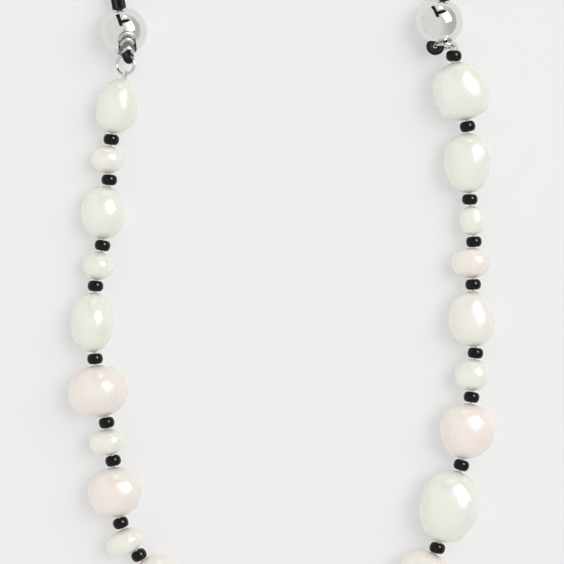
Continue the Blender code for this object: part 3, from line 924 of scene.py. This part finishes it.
SLEEVE_CHROME = chrome("sleeve_chrome", (0.62, 0.62, 0.60), 0.16, 0.32)
sleeve_model = turned("sleeve_model", sleeve_profile(), SLEEVE_SEGMENTS)
slider_frames = {}
for side, matrix in loop_frames.items():
    slider_frames[side] = matrix @ Matrix.Translation((ball_from_bend, 0.0, 0.0))
    sleeve = copy_of(sleeve_model, f"{side}_slider_sleeve_tube")
    settle(sleeve, slider_frames[side])
    sleeve.data.materials.append(SLEEVE_CHROME)
    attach(sleeve, f"{side}_slider")
    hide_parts(f"{side}_slider_sleeve")

# Slider balls
# A chromed ball, bored for the sleeve and notched over its strand side with a round end. A rolled
# edge runs round the notch. A lip with raised ribs leads down from it to the sleeve. The lip's dark
# colour is painted shade for the recess under and between the ribs.
FIT_CLEARANCE = 0.08 * MM
BALL_SEGMENTS = 128
BALL_RINGS = 64
NOTCH_ROLL = {"left": 9.0, "right": 180.0}
NOTCH_SETBACK = 0.72 * MM
NOTCH_FLOOR = 0.1 * MM
EDGE_WIRE = 0.11 * MM
EDGE_STOP = 0.35 * MM
LIP_STEPS = 24
LIP_REACH = 1.65 * MM
LIP_NARROWING = 0.5 * MM
LIP_DROP = 0.45 * MM
LIP_FLOOR = 0.1 * MM
LIP_WALL = 0.08 * MM
LIP_TRIM = 0.4
RIB_PLACES = {"left": (0.1, 0.46, 1.0), "right": (0.1, 0.46)}
RIB_WIRE = 0.32 * MM
RIB_HALF_TURN = 66
MOUTH_STEP = 0.2 * MM
RIGHT_MOUTH_INSET = 0.06 * MM
RIGHT_MOUTH_HEIGHT = 1.08 * MM
bore = sleeve_outer + FIT_CLEARANCE

# half width and half height of the mouth on the strand side; the far one fits the flat legs
NEAR_MOUTH = {"left": (bore, bore), "right": (bore - RIGHT_MOUTH_INSET, RIGHT_MOUTH_HEIGHT)}
FAR_MOUTH = (1.3 * MM, 0.72 * MM)


def oval_ring(x, half_width, half_height, steps=48):
    turns = [2 * math.pi * k / steps for k in range(steps)]
    return [(x, half_width * math.cos(a), half_height * math.sin(a)) for a in turns]


def bore_cutter(near_mouth):
    """Solid of the ball's bore along X: round for the sleeve, narrowed to the legs at its mouths."""
    sleeve_end, mouth, outside = SLEEVE_HALF, SLEEVE_HALF + MOUTH_STEP, 2 * BALL_RADIUS
    rings = [oval_ring(-outside, *near_mouth), oval_ring(-mouth, *near_mouth)]
    rings += [oval_ring(-sleeve_end, bore, bore), oval_ring(sleeve_end, bore, bore)]
    rings += [oval_ring(mouth, *FAR_MOUTH), oval_ring(outside, *FAR_MOUTH)]
    row = len(rings[0])
    faces = [range(row), range((len(rings) - 1) * row, len(rings) * row)]
    for start in range(0, (len(rings) - 1) * row, row):
        for k in range(row):
            turn = (k + 1) % row
            faces.append((start + k, start + turn, start + row + turn, start + row + k))
    return mesh_from("bore_cutter", [point for ring in rings for point in ring], faces)


def notch_arc(radius):
    """Half round end of the notch seen from above, as (x, y) points for a radius."""
    turns = [math.radians(a) for a in range(-90, 91, 5)]
    return [(radius * math.cos(a) - bore - NOTCH_SETBACK, radius * math.sin(a)) for a in turns]


def notch_cutter():
    """Solid of the notch: its outline with straight sides out past the ball, from the axis up."""
    outside = -2.2 * BALL_RADIUS
    outline = notch_arc(bore) + [(outside, bore), (outside, -bore)]
    row = len(outline)
    points = [(x, y, z) for z in (-NOTCH_FLOOR, 2 * BALL_RADIUS) for x, y in outline]
    faces = [range(row), range(row, 2 * row)]
    faces += [(k, (k + 1) % row, row + (k + 1) % row, row + k) for k in range(row)]
    return mesh_from("notch_cutter", points, faces)


def cut_away(piece, mesh):
    """Take a solid out of a piece, as a boolean that is applied."""
    cutter = add_object(mesh.name, mesh)
    face_outwards(cutter)
    cut = piece.modifiers.new(mesh.name, "BOOLEAN")
    cut.operation = "DIFFERENCE"
    cut.object = cutter
    apply_modifiers(piece)
    bpy.data.objects.remove(cutter, do_unlink=True)


def notched_ball(name, near_mouth):
    bpy.ops.object.select_all(action="DESELECT")
    bpy.ops.mesh.primitive_uv_sphere_add(segments=BALL_SEGMENTS, ring_count=BALL_RINGS, radius=BALL_RADIUS)
    ball = bpy.context.object
    ball.name = name
    cut_away(ball, notch_cutter())
    cut_away(ball, bore_cutter(near_mouth))
    pick(ball)
    bpy.ops.object.shade_smooth_by_angle(angle=math.radians(30))
    return ball


def round_bar(name, points, radius):
    """A round bar with closed ends along a line of points."""
    curve = bpy.data.curves.new(name, "CURVE")
    curve.dimensions = "3D"
    curve.bevel_depth = radius
    curve.bevel_resolution = 4
    curve.use_fill_caps = True
    add_line(curve, points)
    bar = as_mesh(name, curve)
    bpy.ops.object.shade_smooth_by_angle(angle=math.radians(60))
    return bar


def on_ball(x, y):
    """Height of the ball's surface over a place of its middle plane."""
    return math.sqrt(max(0.0, BALL_RADIUS**2 - x * x - y * y))


def rolled_edge(name):
    """Bead of metal along the notch's edge, where it meets the ball's surface."""
    reach = math.sqrt(BALL_RADIUS**2 - bore**2) - EDGE_STOP
    corner = bore + NOTCH_SETBACK
    legs = [-reach + (reach - corner) * k / 8 for k in range(8)]
    flat = [(x, -bore) for x in legs] + notch_arc(bore) + [(x, bore) for x in reversed(legs)]
    return round_bar(name, [(x, y, on_ball(x, y) - EDGE_WIRE / 3) for x, y in flat], EDGE_WIRE)


def lip_place(share, angle):
    """Point of the lip, from the notch's round end (share 0) down to the sleeve (share 1)."""
    radius = bore - EDGE_WIRE - LIP_NARROWING * share
    x = radius * math.cos(angle) - bore - NOTCH_SETBACK - LIP_REACH * share
    y = radius * math.sin(angle)
    top = on_ball(x, y) - 3 * EDGE_WIRE
    floor = sleeve_outer + LIP_FLOOR - LIP_DROP * math.sin(angle) ** 2
    return x, y, min(top, top + (floor - top) * share)


def painted_shade_lip(name):
    """Sloping lip from the notch's round end down to the sleeve."""
    turns = [math.radians(a) for a in range(-90, 91, 6)]
    points = []
    for step in range(LIP_STEPS + 1):
        share = step / LIP_STEPS
        points += [lip_place(share, a * (1 - LIP_TRIM * share)) for a in turns]
    row = len(turns)
    faces = []
    for step in range(LIP_STEPS):
        for k in range(row - 1):
            a = step * row + k
            faces.append((a, a + row, a + row + 1, a + 1))
    lip = add_object(name, mesh_from(name, points, faces))
    wall = lip.modifiers.new("wall", "SOLIDIFY")
    wall.thickness = LIP_WALL
    wall.offset = 0.0
    apply_modifiers(lip)
    face_outwards(lip)
    bpy.ops.object.shade_smooth_by_angle(angle=math.radians(50))
    return lip


def lip_ribs(name, places):
    """Raised ribs across the lip, curved like the notch's round end."""
    turns = [math.radians(a) for a in range(-RIB_HALF_TURN, RIB_HALF_TURN + 1, 6)]
    ribs = []
    for number, share in enumerate(places):
        ribs.append(round_bar(f"{name}_{number}", [lip_place(share, a) for a in turns], RIB_WIRE))
    return join_pieces(ribs, name)


BALL_CHROME = chrome("ball_chrome", (0.82, 0.82, 0.79), 0.03, 0.07)
# the lip's dark colour is painted shade for the notch's recess, under and between the ribs
SHADED_LIP_STEEL = chrome("lip_steel_painted_shade", (0.24, 0.24, 0.23), 0.3, 0.5)
RIB_STEEL = chrome("rib_steel", (0.6, 0.6, 0.58), 0.26, 0.4)
lip_model = painted_shade_lip("lip_model")
for side, matrix in slider_frames.items():
    roll = matrix @ Matrix.Rotation(math.radians(NOTCH_ROLL[side]), 4, "X")
    shell = [notched_ball(f"{side}_ball_body", NEAR_MOUTH[side]), rolled_edge(f"{side}_ball_edge")]
    ball = join_pieces(shell, f"{side}_slider_ball_shell")
    lip = copy_of(lip_model, f"{side}_slider_lip")
    ribs = lip_ribs(f"{side}_slider_ribs", RIB_PLACES[side])
    for piece, metal in ((ball, BALL_CHROME), (lip, SHADED_LIP_STEEL), (ribs, RIB_STEEL)):
        settle(piece, roll)
        piece.data.materials.clear()
        piece.data.materials.append(metal)
        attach(piece, f"{side}_slider")
    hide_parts(f"{side}_slider_ball")

models = [pearl_model, seed, stub_model, section, stored_model, stored_seed, ring_model]
for model in models + [sleeve_model, lip_model]:
    bpy.data.objects.remove(model, do_unlink=True)

# Table
# A plain matt table top, much larger than the picture, that the strap lies on. As seen and as
# mirrored it is partly its own pale colour whatever light falls on it, so its shadows are weak.
TABLE_SIZE = 2.4
TABLE_COLOUR = (0.862, 0.862, 0.862)
TABLE_PALENESS = 0.3


def seen_rays(tree):
    """1 for light that the camera sees straight or mirrored, 0 for light that falls on things."""
    rays = add_node(tree, "ShaderNodeLightPath")
    mirrored = add_node(tree, "ShaderNodeMath", operation="MAXIMUM")
    tree.links.new(rays.outputs["Is Glossy Ray"], mirrored.inputs[0])
    tree.links.new(rays.outputs["Is Transmission Ray"], mirrored.inputs[1])
    seen = add_node(tree, "ShaderNodeMath", operation="MAXIMUM")
    tree.links.new(rays.outputs["Is Camera Ray"], seen.inputs[0])
    tree.links.new(mirrored.outputs["Value"], seen.inputs[1])
    return seen.outputs["Value"]


bpy.ops.object.select_all(action="DESELECT")
bpy.ops.mesh.primitive_plane_add(size=TABLE_SIZE)
table = bpy.context.object
table.name = "table"
table_top, table_tree, table_shader = new_material("table_top", {"Roughness": 0.9, "Specular IOR Level": 0.1})
table_shader.inputs["Base Color"].default_value = (*TABLE_COLOUR, 1.0)
glow = add_node(table_tree, "ShaderNodeEmission", {"Color": (*TABLE_COLOUR, 1.0)})
paleness = add_node(table_tree, "ShaderNodeMath", {1: TABLE_PALENESS}, operation="MULTIPLY")
table_tree.links.new(seen_rays(table_tree), paleness.inputs[0])
face = add_node(table_tree, "ShaderNodeMixShader")
table_tree.links.new(paleness.outputs["Value"], face.inputs["Fac"])
table_tree.links.new(table_shader.outputs["BSDF"], face.inputs[1])
table_tree.links.new(glow.outputs["Emission"], face.inputs[2])
table_tree.links.new(face.outputs["Shader"], table_tree.nodes["Material Output"].inputs["Surface"])
table.data.materials.append(table_top)

# Studio light
# A soft box up to the right, a top lamp that casts the shadows, a fill lamp on the left, a small
# back lamp and an even pale room. What shines mirrors the box's face, which is brighter in its
# middle, and the chrome also mirrors a dark stand beside it.
LEFT_PLACE = Vector((21.7, 41.4, 0.0)) * MM
LAMP_DISTANCE = 1.2
BOX_PLACE = (math.radians(43), math.radians(31))
BOX_SIZE = (0.92, 0.72)
BOX_POWER = 3.7
BOX_FACE_POWER = 6.5
BOX_FACE_STEP = 0.02
BOX_MIDDLE_SIZE = (0.45, 0.36)
BOX_MIDDLE_POWER = 11.0
TOP_LAMP_PLACE = (math.radians(22), math.radians(15))
TOP_LAMP_SIZE = (0.4, 0.4)
TOP_LAMP_POWER = 2.45
FILL_LAMP_PLACE = (math.radians(60), math.radians(200))
FILL_LAMP_SIZE = (0.8, 0.6)
FILL_LAMP_POWER = 3.4
BACK_LAMP_PLACE = (math.radians(70), math.radians(84))
BACK_LAMP_SIZE = (0.24, 0.2)
BACK_LAMP_POWER = 0.56
ROOM_LIGHT = 0.55
ROOM_SEEN = 0.80
ROOM_DARK_SIDE = 0.52
ROOM_DARKEST = 0.78
PICTURE_LEVEL = 3.5 * MM
picture_middle = seed_places["left"][0] + LEFT_PLACE
picture_middle.z = PICTURE_LEVEL


def soft_lamp(name, place, size, power, distance=LAMP_DISTANCE):
    tilt, turn = place
    way = Vector((math.sin(tilt) * math.cos(turn), math.sin(tilt) * math.sin(turn), math.cos(tilt)))
    data = bpy.data.lights.new(name, "AREA")
    data.shape = "RECTANGLE"
    data.size, data.size_y = size
    data.energy = power
    lamp = add_object(name, data)
    lamp.location = picture_middle + way * distance
    lamp.rotation_euler = way.to_track_quat("Z", "Y").to_euler()
    lamp.visible_camera = False
    return lamp


soft_box = soft_lamp("soft_box", BOX_PLACE, BOX_SIZE, BOX_POWER)
top_lamp = soft_lamp("top_lamp", TOP_LAMP_PLACE, TOP_LAMP_SIZE, TOP_LAMP_POWER)
fill_lamp = soft_lamp("fill_lamp", FILL_LAMP_PLACE, FILL_LAMP_SIZE, FILL_LAMP_POWER)
for lamp in (soft_box, top_lamp, fill_lamp):
    lamp.visible_glossy = False
box_face = soft_lamp("box_face", BOX_PLACE, BOX_SIZE, BOX_FACE_POWER, LAMP_DISTANCE - BOX_FACE_STEP)
middle_distance = LAMP_DISTANCE - 2 * BOX_FACE_STEP
box_middle = soft_lamp("box_middle", BOX_PLACE, BOX_MIDDLE_SIZE, BOX_MIDDLE_POWER, middle_distance)
for lamp in (box_face, box_middle):
    lamp.visible_diffuse = False
back_lamp = soft_lamp("back_lamp", BACK_LAMP_PLACE, BACK_LAMP_SIZE, BACK_LAMP_POWER)
for lamp in (soft_box, fill_lamp, box_face, box_middle, back_lamp):
    lamp.data.use_shadow = False

# outlines of the stand's post and arm as a ball mirrors them, in shares of the ball's radius
STAND_PARTS = [
    [(-0.40, 0.84), (-0.27, 0.84), (-0.10, 0.46), (0.00, 0.18), (-0.13, 0.18), (-0.23, 0.46)],
    [(-0.08, 0.42), (0.24, 0.48), (0.27, 0.38), (-0.04, 0.28)],
]
STAND_DISTANCE = 1.1


def mirrored_way(x, y):
    """Where a ball mirrors to, seen from above, at a place on its disc."""
    up = math.sqrt(1.0 - x * x - y * y)
    return Vector((2 * up * x, 2 * up * y, 2 * up * up - 1.0))


stand_points = []
stand_faces = []
for outline in STAND_PARTS:
    stand_faces.append(range(len(stand_points), len(stand_points) + len(outline)))
    stand_points += [picture_middle + STAND_DISTANCE * mirrored_way(x, y) for x, y in outline]
stand = add_object("dark_stand", mesh_from("dark_stand", stand_points, stand_faces))
dull_black = {"Base Color": (0.02, 0.02, 0.02, 1.0), "Roughness": 0.8, "Specular IOR Level": 0.1}
stand.data.materials.append(new_material("stand_paint", dull_black)[0])
stand.visible_camera = False
stand.visible_diffuse = False
stand.visible_shadow = False

world = bpy.data.worlds.new("pale_room")
bpy.context.scene.world = world
world.use_nodes = True
room_tree = world.node_tree
room = room_tree.nodes["Background"]
room.inputs["Color"].default_value = (1.0, 1.0, 1.0, 1.0)
look = add_node(room_tree, "ShaderNodeTexCoord")
sides = add_node(room_tree, "ShaderNodeSeparateXYZ")
room_tree.links.new(look.outputs["Generated"], sides.inputs["Vector"])
wall = add_node(
    room_tree,
    "ShaderNodeMapRange",
    {"From Min": 0.0, "From Max": ROOM_DARKEST, "To Min": ROOM_SEEN, "To Max": ROOM_DARK_SIDE},
)
room_tree.links.new(sides.outputs["X"], wall.inputs["Value"])
level = add_node(room_tree, "ShaderNodeMapRange", {"To Min": ROOM_LIGHT})
room_tree.links.new(seen_rays(room_tree), level.inputs["Value"])
room_tree.links.new(wall.outputs["Result"], level.inputs["To Max"])
room_tree.links.new(level.outputs["Result"], room.inputs["Strength"])

# Camera
# Straight above the strap, as in the picture, with a long lens.
LENS = 150.0
SENSOR = 36.0
PICTURE_WIDTH = 85.45 * MM

data = bpy.data.cameras.new("camera")
data.lens = LENS
data.sensor_width = SENSOR
data.clip_start = 0.01
camera = add_object("camera", data)
camera.location = picture_middle + Vector((0.0, 0.0, PICTURE_WIDTH * LENS / SENSOR))
bpy.context.scene.camera = camera
bpy.context.scene.view_settings.view_transform = "Standard"
